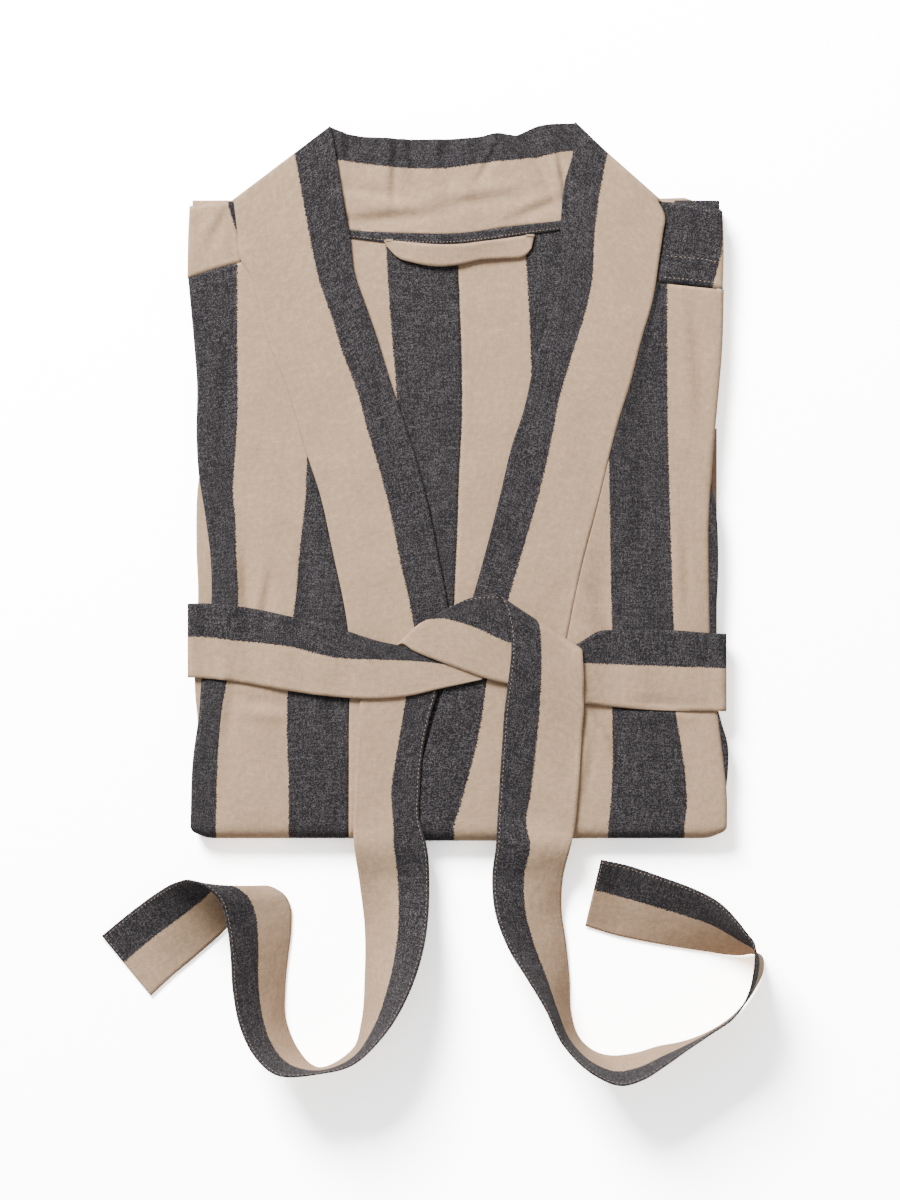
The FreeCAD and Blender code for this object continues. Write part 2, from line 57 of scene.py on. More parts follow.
# Levels of the folded robe. The torso lies over the skirt, and their leaves mirror each other.
MIDDLE = 11.0
CORE = 3.2
PITCH = 1.8
FOLD_Y = -230.2
CLOTH = 1.0
DOUBLE_CLOTH = 1.25
BELT_CLOTH = 1.2
TORSO_ROWS = 150
SKIRT_ROWS = 40
TURN_ROWS = 9
SPACING = 3.0


def leaf(number):
    """Distance of a leaf's middle from the middle level: 0 is innermost and 4 outermost."""
    return CORE + PITCH * number


def ramp(value, start, end):
    """0 before start, 1 after end, and smooth between them."""
    t = np.clip((value - start) / (end - start), 0, 1)
    return t * t * (3 - 2 * t)


def smooth(points, steps=10):
    """A dense smooth curve through the points, which may be unevenly spaced."""
    p = np.array(points, float)
    gap = np.maximum(np.linalg.norm(np.diff(p, axis=0), axis=1), 1e-6)[:, None]
    slope = np.diff(p, axis=0) / gap
    inner = (gap[:-1] * slope[1:] + gap[1:] * slope[:-1]) / (gap[:-1] + gap[1:])
    tangent = np.vstack([slope[:1], inner, slope[-1:]])
    t = np.linspace(0, 1, steps, endpoint=False)[:, None]
    parts = []
    for i in range(len(p) - 1):
        curve = p[i] * (2 * t**3 - 3 * t**2 + 1) + p[i + 1] * (3 * t**2 - 2 * t**3)
        curve += gap[i] * (tangent[i] * (t**3 - 2 * t**2 + t) + tangent[i + 1] * (t**3 - t**2))
        parts.append(curve)
    return np.vstack(parts + [p[-1:]])


def lengths(curve):
    """Distance run along a curve at each of its points."""
    steps = np.linalg.norm(np.diff(curve, axis=0), axis=1)
    return np.concatenate([[0], np.cumsum(steps)])


def resample(points, count):
    """The smooth curve through the points, at evenly spaced places."""
    curve = smooth(points)
    run = lengths(curve)
    at = np.linspace(0, run[-1], count)
    return np.stack([np.interp(at, run, axis) for axis in curve.T], -1)


# Creases pressed into the cloth: middle x and y, direction in degrees, half length, half width and strength.
CREASE_RISE = 3.6
CREASES = [
    (-85, 281, 96, 17, 3.2, 1.3), (-50, 268, 88, 26, 4.0, 1.3), (-38, 279, 100, 14, 3.2, 1.0),
    (-14, 276, 84, 13, 3.5, 0.7), (22, 272, 62, 15, 3.5, 1.1), (45, 283, 128, 15, 3.4, 2.2),
    (60, 262, 118, 16, 4.0, 1.3), (77, 255, 100, 22, 3.6, 1.8), (-52, 230, 4, 34, 6.0, 1.4),
    (14, 243, 8, 30, 6.0, 1.2), (-66, 243, 170, 24, 5.0, 0.9), (58, 236, 22, 22, 5.0, 1.1),
    (-163, -48, 94, 26, 6.0, 1.2), (-146, -58, 80, 20, 5.0, 1.0), (-118, -44, 98, 22, 6.5, 0.8),
    (-174, -140, 86, 26, 6.0, 0.9), (-146, -141, 172, 18, 6.0, 1.0), (-98, -146, 100, 18, 6.0, 0.6),
    (104, -150, 118, 22, 5.0, 1.4), (116, -172, 105, 24, 5.5, 1.0), (96, -186, 82, 20, 5.0, 0.8),
    (153, -143, 178, 20, 6.0, 1.2), (103, -66, 128, 18, 5.0, 1.0), (120, -52, 100, 22, 6.0, 0.8),
    (168, -40, 92, 30, 6.0, 0.9), (-182, 222, 62, 16, 4.5, 0.9), (-172, 205, 100, 14, 4.5, 0.7),
    (160, 222, 128, 18, 4.5, 1.0), (178, 214, 100, 16, 4.5, 0.8), (-178, 96, 88, 40, 7.0, 0.9),
    (176, 120, 94, 46, 7.0, 0.8), (-60, 90, 104, 40, 8.0, 0.7), (132, 20, 86, 44, 8.0, 0.7),
]


def creases(x, y):
    """The rise and fall across every crease."""
    lift = np.zeros_like(x)
    for at_x, at_y, angle, length, width, strength in CREASES:
        turn = math.radians(angle)
        along = ((x - at_x) * math.cos(turn) + (y - at_y) * math.sin(turn)) / length
        across = ((y - at_y) * math.cos(turn) - (x - at_x) * math.sin(turn)) / width
        lift += CREASE_RISE * strength * across * np.exp(-(across ** 2) - along ** 2)
    return lift


def waves(x, y):
    """Soft unevenness of cloth that has been worn and folded by hand."""
    lift = 0.9 * np.sin(x / 61 + 0.6) * np.sin(y / 88 + 1.1)
    lift += 0.55 * np.sin((x + 0.4 * y) / 31 + 2.0)
    lift += 0.40 * np.sin((x - 0.7 * y) / 19 + 0.5) * np.sin(y / 47)
    lift += 0.22 * np.sin((x + 0.2 * y) / 8.5 + 1.3 * np.sin(y / 40)) * np.sin(x / 37 + y / 71)
    near_belt = np.exp(-(((y + 62) / 80) ** 2))
    sides = ramp(np.abs(x), 60, 105)
    lift += 0.85 * near_belt * sides * np.sin(x / 6.1 + 0.012 * y + 0.8 * np.sin(y / 35))
    lift += 0.5 * ramp(-y, 120, 190) * np.sin(x / 9.5 + 1.1 * np.sin(y / 29))
    return lift + creases(x, y)


def relief(points):
    """The points, lifted by the unevenness. The underside stays flat on the floor."""
    x, y, z = points[..., 0], points[..., 1], points[..., 2]
    share = np.clip(z / 20, 0, 1.1) ** 2 * ramp(y, -246, -215)
    out = points.copy()
    out[..., 2] = z + waves(x, y) * share
    return out


def fill(paths, marks, spacing=SPACING):
    """Columns of points between neighbouring guide paths, with the cloth coordinate of each."""
    columns = []
    values = []
    for i in range(len(paths) - 1):
        gap = np.linalg.norm(paths[i + 1] - paths[i], axis=1).max()
        count = max(2, int(gap / spacing))
        for k in range(count):
            t = k / count
            columns.append(paths[i] * (1 - t) + paths[i + 1] * t)
            values.append(marks[i] * (1 - t) + marks[i + 1] * t)
    columns.append(paths[-1])
    values.append(marks[-1])
    return np.stack(columns, 1), np.stack(values, 1)


def mark(value, path):
    """Cloth coordinate along a guide: one number, or pairs of height and number."""
    if isinstance(value, (int, float)):
        return np.full(len(path), float(value))
    pairs = sorted(value)
    return np.interp(path[:, 1], [p[0] for p in pairs], [p[1] for p in pairs])


def book(lines, number, side=0, tuck_number=0, tuck_to=60.0, seam_rise=0.0):
    """A panel folded over at the bottom. Each line is (cloth coordinate, torso guide, skirt guide).
    Guides start at the fold. With a side, the panel also turns round that side and tucks in behind.
    With a seam_rise, it climbs by that much over the last stretch before its inner seam."""
    paths = []
    marks = []
    for value, torso, skirt in lines:
        up = resample(torso, TORSO_ROWS)
        down = resample(skirt, SKIRT_ROWS)[::-1]
        turn_x = np.linspace(down[-1, 0], up[0, 0], TURN_ROWS + 2)[1:-1]
        turn = np.stack([turn_x, np.full(TURN_ROWS, FOLD_Y)], -1)
        path = np.vstack([down, turn, up])
        value_up = mark(value, up)
        start = np.full(SKIRT_ROWS + TURN_ROWS, value_up[0])
        paths.append(path)
        marks.append(np.concatenate([start, value_up]))
    turning = np.linspace(math.pi, 0, TURN_ROWS + 2)[1:-1]
    angle = np.concatenate([np.full(SKIRT_ROWS, math.pi), turning, np.zeros(TORSO_ROWS)])
    outer = leaf(number)
    if side:
        inner = leaf(tuck_number)
        radius = (outer - inner) / 2
        edge = paths[0].copy()
        outward = np.sign(marks[0].mean() - marks[1].mean())
        paths[0] = edge + [-side * radius, 0]
    flat, values = fill(paths, marks)
    columns = flat.shape[1]
    distance = outer + seam_rise * ramp(np.arange(columns), columns - 14, columns - 1)
    if side:
        extra = []
        extra_marks = []
        extra_distance = []
        for phi in np.linspace(0, math.pi, 7)[1:]:
            inward = radius - radius * math.sin(phi)
            extra.append(edge + [-side * inward, 0])
            extra_marks.append(marks[0] + outward * phi * radius)
            extra_distance.append((outer + inner) / 2 + radius * math.cos(phi))
        last = extra[-1]
        for t in np.linspace(0, 1, 13)[1:]:
            column = last.copy()
            column[:, 0] = last[:, 0] * (1 - t) + side * tuck_to * t
            extra.append(column)
            reach = np.abs(column[:, 0] - last[:, 0])
            extra_marks.append(marks[0] + outward * (math.pi * radius + reach))
            extra_distance.append(inner)
        flat = np.concatenate([np.stack(extra[::-1], 1), flat], 1)
        values = np.concatenate([np.stack(extra_marks[::-1], 1), values], 1)
        distance = np.concatenate([extra_distance[::-1], distance])
    turned = np.abs(np.sin(angle)) > 1e-6
    y = flat[..., 1].copy()
    corner = 1 - 0.6 * ramp(np.abs(flat[turned][..., 0]), 180, 203) ** 2
    y[turned] = FOLD_Y - np.sin(angle[turned])[:, None] * distance[None, :] * corner
    z = MIDDLE + np.cos(angle)[:, None] * distance[None, :]
    return np.stack([flat[..., 0], y, z], -1), values


def strip(stations, marks, rows, spacing=SPACING):
    """A strip through stations, each a list of points across it in millimetres with heights."""
    knots = np.array(stations, float)
    count, across = knots.shape[:2]
    dense = smooth(knots.reshape(count, -1)).reshape(-1, across, 3)
    run = lengths(dense[:, across // 2])
    at = np.linspace(0, run[-1], rows)
    paths = []
    for i in range(across):
        paths.append(np.stack([np.interp(at, run, dense[:, i, k]) for k in range(3)], -1))
    return fill(paths, [np.full(rows, float(m)) for m in marks], spacing)


def cloth(name, patches, finish, thick=CLOTH, body="robe"):
    """A smooth mesh of one or more patches, given thickness and a map of the cloth's own coordinates."""
    points = []
    faces = []
    maps = []
    count = 0
    for grid, values in patches:
        rows, columns = grid.shape[:2]
        points.append(grid.reshape(-1, 3) * MM)
        index = count + np.arange(rows * columns).reshape(rows, columns)
        quads = np.stack([index[:-1, :-1], index[:-1, 1:], index[1:, 1:], index[1:, :-1]], -1)
        faces.append(quads.reshape(-1, 4))
        middle = grid[:, columns // 2]
        along = np.repeat(lengths(middle)[:, None], columns, 1)
        maps.append(np.stack([values, along], -1).reshape(-1, 2) * MM)
        count += rows * columns
    mesh = bpy.data.meshes.new(name)
    mesh.from_pydata(np.vstack(points).tolist(), [], np.vstack(faces).tolist())
    layer = mesh.uv_layers.new(name="cloth")
    corners = np.zeros(len(mesh.loops), int)
    mesh.loops.foreach_get("vertex_index", corners)
    layer.data.foreach_set("uv", np.vstack(maps)[corners].ravel())
    mesh.materials.append(finish)
    mesh.shade_smooth()
    piece = bpy.data.objects.new(name, mesh)
    bpy.context.scene.collection.objects.link(piece)
    solid = piece.modifiers.new("thickness", "SOLIDIFY")
    solid.thickness = thick * MM
    solid.offset = 0
    if body:
        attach(piece, body)
    return piece


# ---- Finishes ----


def node(tree, kind, **sockets):
    """A shader node with its inputs set or linked by name."""
    new = tree.nodes.new(kind)
    for key, value in sockets.items():
        socket = new.inputs[int(key[1:])] if key[0] == "i" and key[1:].isdigit() else new.inputs[key]
        if isinstance(value, bpy.types.NodeSocket):
            tree.links.new(value, socket)
        else:
            socket.default_value = value
    return new


def maths(tree, operation, *values):
    """A maths node."""
    new = tree.nodes.new("ShaderNodeMath")
    new.operation = operation
    for socket, value in zip(new.inputs, values):
        if isinstance(value, bpy.types.NodeSocket):
            tree.links.new(value, socket)
        else:
            socket.default_value = value
    return new.outputs[0]


def blend_colours(tree, share, first, second):
    """Two colours mixed by a share."""
    new = tree.nodes.new("ShaderNodeMix")
    new.data_type = "RGBA"
    for socket, value in ((new.inputs[0], share), (new.inputs[6], first), (new.inputs[7], second)):
        if isinstance(value, bpy.types.NodeSocket):
            tree.links.new(value, socket)
        else:
            socket.default_value = value
    return new.outputs[2]


DARK_YARN = (0.0167, 0.0145, 0.0163, 1)
FLECK = (0.112, 0.101, 0.106, 1)
SAND_YARN = (0.480, 0.318, 0.198, 1)
PALE_SLUB = (0.600, 0.415, 0.270, 1)
THREAD = (0.60, 0.45, 0.32, 1)


def woven(name, striped=True, dark=False):
    """Plain woven cloth: striped, all dark or all sand."""
    material = bpy.data.materials.new(name)
    material.use_nodes = True
    tree = material.node_tree
    shader = tree.nodes["Principled BSDF"]
    shader.inputs["Roughness"].default_value = 0.92
    shader.inputs["Specular IOR Level"].default_value = 0.15
    shader.inputs["Sheen Weight"].default_value = 0.06
    shader.inputs["Sheen Roughness"].default_value = 0.6
    place = tree.nodes.new("ShaderNodeUVMap")
    place.uv_map = "cloth"
    split = node(tree, "ShaderNodeSeparateXYZ", Vector=place.outputs[0])

    def yarn(across, along, detail):
        """Noise stretched along one set of yarns."""
        mapping = node(tree, "ShaderNodeMapping", Vector=place.outputs[0], Scale=(across, along, 1))
        noise = node(tree, "ShaderNodeTexNoise", Vector=mapping.outputs[0], Scale=1.0, Detail=detail)
        return noise.outputs[0]

    def cells(across, along):
        """One random shade for each crossing of that many yarns to the metre."""
        spread = node(tree, "ShaderNodeMapping", Vector=place.outputs[0], Scale=(across, along, 1))
        step = tree.nodes.new("ShaderNodeVectorMath")
        step.operation = "FLOOR"
        tree.links.new(spread.outputs[0], step.inputs[0])
        shade = tree.nodes.new("ShaderNodeTexWhiteNoise")
        shade.noise_dimensions = "2D"
        tree.links.new(step.outputs[0], shade.inputs[0])
        return shade.outputs[0]

    crossing = cells(1900, 2050)
    warp = cells(1350, 90)
    weft = cells(110, 1500)
    slub = yarn(70, 700, 2.0)
    mottle = yarn(260, 230, 3.0)
    cloud = yarn(34, 26, 3.0)
    lightness = maths(tree, "MULTIPLY_ADD", crossing, 0.68, maths(tree, "MULTIPLY", warp, 0.14))
    lightness = maths(tree, "MULTIPLY_ADD", weft, 0.18, lightness)
    fleck = maths(tree, "MULTIPLY_ADD", lightness, 3.3, -1.66)
    fleck = node(tree, "ShaderNodeClamp", Value=fleck).outputs[0]
    dark_colour = blend_colours(tree, fleck, DARK_YARN, FLECK)
    faint = maths(tree, "MULTIPLY_ADD", slub, 0.7, maths(tree, "MULTIPLY_ADD", lightness, 1.3, -1.75))
    faint = maths(tree, "MULTIPLY_ADD", mottle, 2.3, faint)
    faint = node(tree, "ShaderNodeClamp", Value=faint).outputs[0]
    sand_colour = blend_colours(tree, faint, SAND_YARN, PALE_SLUB)
    if striped:
        wobble = maths(tree, "MULTIPLY_ADD", weft, 0.0012, -0.0006)
        across = maths(tree, "ADD", split.outputs[0], wobble)
        turn = maths(tree, "WRAP", across, REPEAT * MM, 0.0)
        is_dark = maths(tree, "LESS_THAN", turn, DARK * MM)
        colour = blend_colours(tree, is_dark, sand_colour, dark_colour)
    else:
        colour = dark_colour if dark else sand_colour
    shade = maths(tree, "MULTIPLY_ADD", cloud, 0.26, 0.87)
    tint = node(tree, "ShaderNodeCombineColor", Red=shade, Green=shade, Blue=shade)
    multiply = tree.nodes.new("ShaderNodeMix")
    multiply.data_type = "RGBA"
    multiply.blend_type = "MULTIPLY"
    multiply.inputs[0].default_value = 1.0
    tree.links.new(colour, multiply.inputs[6])
    tree.links.new(tint.outputs[0], multiply.inputs[7])
    tree.links.new(multiply.outputs[2], shader.inputs["Base Color"])
    soft = yarn(70, 45, 3.0)
    weave = maths(tree, "ADD", maths(tree, "MULTIPLY", crossing, 0.35), maths(tree, "MULTIPLY", soft, 2.2))
    weave = maths(tree, "MULTIPLY_ADD", mottle, 0.5, weave)
    bump = node(tree, "ShaderNodeBump", Height=weave, Strength=0.55, Distance=0.0009)
    tree.links.new(bump.outputs[0], shader.inputs["Normal"])
    return material


def plain(name, colour, roughness):
    """A plain matte finish."""
    material = bpy.data.materials.new(name)
    material.use_nodes = True
    shader = material.node_tree.nodes["Principled BSDF"]
    shader.inputs["Base Color"].default_value = colour
    shader.inputs["Roughness"].default_value = roughness
    return material


robe_cloth = woven("robe_cloth")
neckband_cloth = woven("neckband_cloth")
belt_cloth = woven("belt_cloth")
dark_cloth = woven("dark_cloth", striped=False, dark=True)
sand_cloth = woven("sand_cloth", striped=False)
thread = plain("thread", THREAD, 0.8)

# ---- Stitches ----

stitches = {"robe": [], "left_tail": [], "right_tail": []}


def sew(group, path, normals, offset, pitch=3.3, length=2.1, radius=0.22):
    """Stitches along a path, lying on the cloth at an offset along its normals."""
    run = lengths(path)
    for start in np.arange(pitch / 2, run[-1] - length, pitch):
        ends = []
        for at in (start, start + length):
            point = np.array([np.interp(at, run, axis) for axis in path.T])
            normal = np.array([np.interp(at, run, axis) for axis in normals.T])
            normal /= np.linalg.norm(normal)
            ends.append(point + normal * offset)
        stitches[group].append((ends[0], ends[1], normal, radius))


def sew_grid(group, grid, column=None, row=None, thick=CLOTH, faces=(1,), part=slice(None), **how):
    """Stitches along one column or row of a patch, on one face of it or on both."""
    down = np.gradient(grid, axis=0)
    over = np.gradient(grid, axis=1)
    normals = np.cross(over, down)
    if normals[..., 2].mean() < 0:
        normals = -normals
    pick = (part, column) if row is None else (row, part)
    for face in faces:
        sew(group, grid[pick], normals[pick] * face, thick / 2 + 0.03, **how)


def stitch_mesh(name, group):
    """One mesh of all the stitches of a group, each a short bead pointed at both ends."""
    points = []
    faces = []
    for start, end, normal, radius in stitches[group]:
        along = end - start
        side = np.cross(along, normal)
        side *= radius / np.linalg.norm(side)
        up = normal * radius
        middle = (start + end) / 2
        base = len(points)
        points += [start, middle + side, middle + up, middle - side, middle - up, end]
        for a, b in ((1, 2), (2, 3), (3, 4), (4, 1)):
            faces.append((base, base + a, base + b))
            faces.append((base + 5, base + b, base + a))
    mesh = bpy.data.meshes.new(name)
    mesh.from_pydata((np.array(points) * MM).tolist(), [], faces)
    mesh.materials.append(thread)
    mesh.shade_smooth()
    piece = bpy.data.objects.new(name, mesh)
    bpy.context.scene.collection.objects.link(piece)
    return piece


# ---- Back panel ----

BACK_LEFT_EDGE = [
    (-199, -230), (-196, -178), (-195, -153), (-197, -130), (-197, -90), (-194.8, -58), (-196, -20),
    (-195.4, 20), (-192, 50), (-191, 101), (-193.5, 139), (-198, 182), (-199, 240),
]
BACK_RIGHT_EDGE = [
    (198, -230), (200.5, -205), (202.4, -185), (202, -168), (198, -154), (193, -135), (193, -84), (195, -29),
    (193.7, 4), (187.5, 42), (189.5, 90), (192, 126), (194, 173), (196, 240),
]
LEFT_SKIRT_EDGE = [
    (-198.6, -230), (-195, -180), (-192, -120), (-190, -60), (-191, 0), (-189, 60), (-191, 120), (-196, 180),
    (-199, 235),
]
RIGHT_SKIRT_EDGE = [
    (199, -230), (196, -180), (191, -120), (188, -60), (186, 0), (186, 60), (190, 120), (194, 180),
    (198, 235),
]
back_lines = [
    (-38, BACK_LEFT_EDGE, LEFT_SKIRT_EDGE),
    (-3, [(-165, -230), (-165, 240)], [(-165, -230), (-165, 241)]),
    (108.75, [(-44, -230), (-44, 40), (-46, 93), (-51.5, 162), (-53.8, 202), (-54.3, 215)],
     [(-44, -230), (-44, 240)]),
    (163.5, [(-3, -230), (-2.6, -59), (-0.4, -6), (1.1, 38), (2.9, 75), (2.9, 116), (1.4, 162), (-1, 214.5)],
     [(-3, -230), (-3, 240)]),
    (217.5, [(55, -230), (55, 60), (54.8, 118), (53.2, 160), (50.9, 198), (50, 220.5)],
     [(55, -230), (55, 240)]),
    (311.5, [(149.5, -230), (149.5, 240)], [(149.5, -230), (171, 243.6)]),
    (362.5, BACK_RIGHT_EDGE, RIGHT_SKIRT_EDGE),
]
left_half, left_half_marks = book(back_lines[:4], 2, side=-1, tuck_number=1)
right_half, right_half_marks = book(back_lines[:2:-1], 2, side=1, tuck_number=1)


def shoulder_flap(lines):
    """The back panel's turn over the shoulder and its flap down to the seam with the front."""
    radius = PITCH / 2
    paths = []
    marks = []
    for value, guide in lines:
        flat = resample(guide, 16)
        over = []
        for phi in np.linspace(-math.pi / 2, math.pi / 2, 7)[:-1]:
            y = flat[0, 1] - radius + radius * math.cos(phi)
            over.append((flat[0, 0], y, MIDDLE + leaf(2.5) + radius * math.sin(phi)))
        down = np.column_stack([flat, np.full(len(flat), MIDDLE + leaf(3) + 0.15)])
        path = np.vstack([over, down])
        paths.append(path)
        marks.append(mark(value, path))
    return fill(paths, marks, 3.0)


left_flap = shoulder_flap([
    (-35, [(-201.5, 235), (-202.6, 210), (-203, 181.2)]),
    (-20, [(-187, 237.5), (-187, 212), (-184, 188)]),
    ([(238, 6), (215, 0), (193, -4)], [(-168.7, 238.5), (-165.5, 217), (-163, 193.6)]),
])
right_flap = shoulder_flap([
    (12, [(151, 238.5), (155, 228), (153.5, 214), (151, 197), (149.5, 178.5)]),
    ([(236, 40), (175, 43)], [(182, 236.5), (184, 205), (181, 175.6)]),
    ([(229, 54), (201, 56), (184, 60), (173, 64)], [(198.4, 231.4), (199.3, 205), (198.6, 173)]),
])
back_patches = [
    (relief(left_half), left_half_marks), (relief(right_half), right_half_marks),
    (relief(left_flap[0]), left_flap[1]), (relief(right_flap[0]), right_flap[1]),
]
back_panel = cloth("back_panel_cloth", back_patches, robe_cloth)
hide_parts("back_panel")

# ---- Fronts ----

LEFT_FRONT_EDGE = [
    (-200.6, -230), (-198.6, -178), (-194.5, -148), (-192.5, -121), (-188, -90), (-184.9, -59), (-185.6, -28),
    (-189.3, 1.5), (-194.5, 36), (-196, 62), (-195.6, 101), (-198.4, 139), (-202.6, 184.5),
]
LEFT_SEAM = [
    (-82, -230), (-81.8, -160), (-82.2, -85), (-94.5, -21), (-103.4, 19), (-113.3, 49.5), (-122.6, 81),
    (-128.8, 101), (-136.5, 118), (-144, 139), (-150, 162), (-157, 185), (-162.5, 193.5),
]
LEFT_SEAM_MARKS = [
    (194, 57.8), (139, 76.3), (101, 91.5), (49.5, 108.75), (16, 121), (-21, 136.5), (-70, 159.5),
    (-129, 162), (-193, 154), (-240, 153.5),
]
left_front_lines = [
    (22, LEFT_FRONT_EDGE, LEFT_SKIRT_EDGE),
    (54.75, [(-181.6, -230), (-181, -201), (-179, -163), (-176.7, -140), (-173.8, -123), (-168.5, -92),
             (-164.9, -62), (-166.4, -28), (-167.1, 1.5), (-168.9, 22), (-167.4, 46), (-165.5, 75),
             (-165.5, 130), (-165.5, 192.5)], [(-181.6, -230), (-181, 240)]),
    (LEFT_SEAM_MARKS, LEFT_SEAM, [(-82, -230), (-66, 238)]),
]
left_front_patch, left_front_marks = book(left_front_lines, 3, side=-1)
left_front = cloth("left_front_cloth", [(relief(left_front_patch), left_front_marks)], robe_cloth)
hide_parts("left_front")

RIGHT_FRONT_EDGE = [
    (201.5, -230), (201.5, -211), (199, -180), (196, -156), (194, -140), (190.5, -112), (189, -83),
    (188.3, -45),
    (188, -5.5), (190.5, 42), (194.7, 90), (197.8, 126), (199.2, 173),
]
RIGHT_SEAM = [
    (57, -230), (71.7, -146), (81.6, -88), (92.6, -34), (105, 13.5), (113, 46.6), (120, 73.5), (129, 102),
    (137, 133.5), (146, 165), (149.5, 178),
]
RIGHT_SEAM_MARKS = [
    (178, 46), (165, 42), (133.5, 31), (102, 21), (73.5, 9.8), (46.6, 0), (13.5, -10.4), (-34, -26.2),
    (-88, -40.9), (-146, -50), (-238, -53),
]
right_front_lines = [
    (90, RIGHT_FRONT_EDGE, RIGHT_SKIRT_EDGE),
    (54.75, [(170, -230), (171.6, -216), (170.8, -193), (166.8, -164), (163.7, -146), (162, -83), (160, -21),
             (158, 42), (157.4, 75), (157, 120), (157, 177)], [(170, -230), (170, 240)]),
    (RIGHT_SEAM_MARKS, RIGHT_SEAM, [(57, -230), (58, 238)]),
]
right_front_patch, right_front_marks = book(right_front_lines, 3, side=1, seam_rise=PITCH)
right_front = cloth("right_front_cloth", [(relief(right_front_patch), right_front_marks)], robe_cloth)
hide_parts("right_front")

# ---- Neckband: one long strip, down both fronts and round the back of the neck ----

BAND_MARKS = [62.0, 108.75, 138.0]
LEFT_BAND = [
    LEFT_SEAM[:-1] + [(-162.5, 194), (-165.5, 217), (-168.2, 239)],
    [(-33, -230), (-32.5, -160), (-33, -82), (-44, -28), (-51.5, 9), (-59, 38), (-68, 68), (-75, 95),
     (-86, 124),
     (-95, 153), (-104.3, 180), (-108.8, 200), (-116.5, 241.5), (-122.4, 273.5)],
    [(21, -230), (8, -160), (-2, -97), (-8.5, -60), (-16, -21), (-24, 18), (-32, 47), (-41, 75), (-50.7, 104),
     (-61.5, 139), (-70.6, 165), (-77.5, 185), (-81.3, 215.5), (-86, 241.5), (-90.5, 269), (-95.5, 295)],
]
RIGHT_BAND = [
    RIGHT_SEAM[:-1] + [(151, 197), (153.5, 214), (155, 228), (150, 239)],
    [(-3, -230), (6.5, -198), (16.5, -157), (21.8, -121), (38, -59), (47, -28), (59.5, 15), (70.5, 62),
     (75.3, 88),
     (86.3, 126), (95.8, 157), (100.5, 179), (102, 208), (105, 236), (111.5, 273)],
    [(-41, -230), (-13.5, -135), (12, -54.5), (17, -37), (31, 16.6), (42, 61), (47, 75), (59.5, 125.6),
     (69, 152),
     (77.6, 179), (77, 223.5), (80, 252), (86.3, 277), (87.5, 298)],
]
BACK_RUN = [
    [(-168.2, 239), (-128, 224), (-81, 217), (-41.6, 214.7), (16.5, 216), (26, 218), (77, 223.5), (118, 230),
     (150, 239)],
    [(-122.4, 273.5), (-89, 270), (-70.6, 267.5), (-43, 264.5), (-6, 264.5), (18.5, 268), (58, 272),
     (86, 277),
     (111.5, 273)],
    [(-95.5, 295), (-86, 291), (-51, 286.7), (-11, 286), (16.5, 288), (31, 290.6), (40.5, 288.7), (61, 296),
     (87.5, 298)],
]
LEG_ROWS = 150
BACK_ROWS = 140
CORNER_ROWS = 5


def neckband():
    """Points across the strip at every row from the left hem to the right hem."""
    paths = []
    left_leaf = MIDDLE + leaf(3) + 0.25
    right_leaf = MIDDLE + leaf(4) + 0.25
    run_leaf = MIDDLE + leaf(2)
    skirt_x = ((-66, 57), (-12, 8), (34, -56))
    for i in range(3):
        parts = []
        for guide, number, hem_x, top in (
            (LEFT_BAND[i], 3, skirt_x[i][0], left_leaf), (RIGHT_BAND[i], 4, skirt_x[i][1], right_leaf),
        ):
            radius = leaf(number)
            up = resample(guide, LEG_ROWS)
            down = resample([guide[0], (hem_x, 239)], SKIRT_ROWS)[::-1]
            turn = np.linspace(math.pi, 0, TURN_ROWS + 2)[1:-1]
            x = np.concatenate([down[:, 0], np.full(TURN_ROWS, guide[0][0]), up[:, 0]])
            y = np.concatenate([down[:, 1], FOLD_Y - radius * np.sin(turn), up[:, 1]])
            rise = ramp(up[:, 1], FOLD_Y, FOLD_Y + 30) * (top - MIDDLE - radius)
            z = np.concatenate([
                np.full(SKIRT_ROWS, MIDDLE - radius), MIDDLE + radius * np.cos(turn), MIDDLE + radius + rise,
            ])
            parts.append(np.column_stack([x, y, z]))
        run = resample(BACK_RUN[i], BACK_ROWS)
        gather = (0.25, 0.7, 1.0)[i] * np.sin(run[:, 0] / 4.6 + 1.2 * np.sin(run[:, 0] / 17))
        crease = (0.0, 0.9, 1.8)[i] * np.exp(-(((run[:, 0] - 47) / 7) ** 2))
        run = np.column_stack([run, run_leaf + gather * ramp(90 - np.abs(run[:, 0]), 0, 25) + crease])
        corners = []
        for level, sign in ((left_leaf, 1), (right_leaf, -1)):
            radius = (level - run_leaf) / 2
            end = run[0] if sign > 0 else run[-1]
            outward = np.array([-0.62 * sign, 0.78, 0]) * (1, 1, 0.2)[i]
            arc = []
            for phi in np.linspace(math.pi / 2, -math.pi / 2, CORNER_ROWS + 2)[1:-1]:
                centre = np.array([end[0], end[1], run_leaf + radius])
                arc.append(centre + outward * radius * math.cos(phi) + [0, 0, radius * math.sin(phi)])
            corners.append(np.array(arc))
        paths.append(np.vstack([parts[0], corners[0], run, corners[1][::-1], parts[1][::-1]]))
    marks = [np.full(len(paths[0]), m) for m in BAND_MARKS]
    return fill(paths, marks, 3.0)


band_patch, band_marks = neckband()
band_patch = relief(band_patch)
band = cloth("neckband_cloth_strip", [(band_patch, band_marks)], neckband_cloth, DOUBLE_CLOTH)
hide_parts("neckband_left", "neckband_right", "neckband_back")

# ---- Neck tape and hanger loop ----

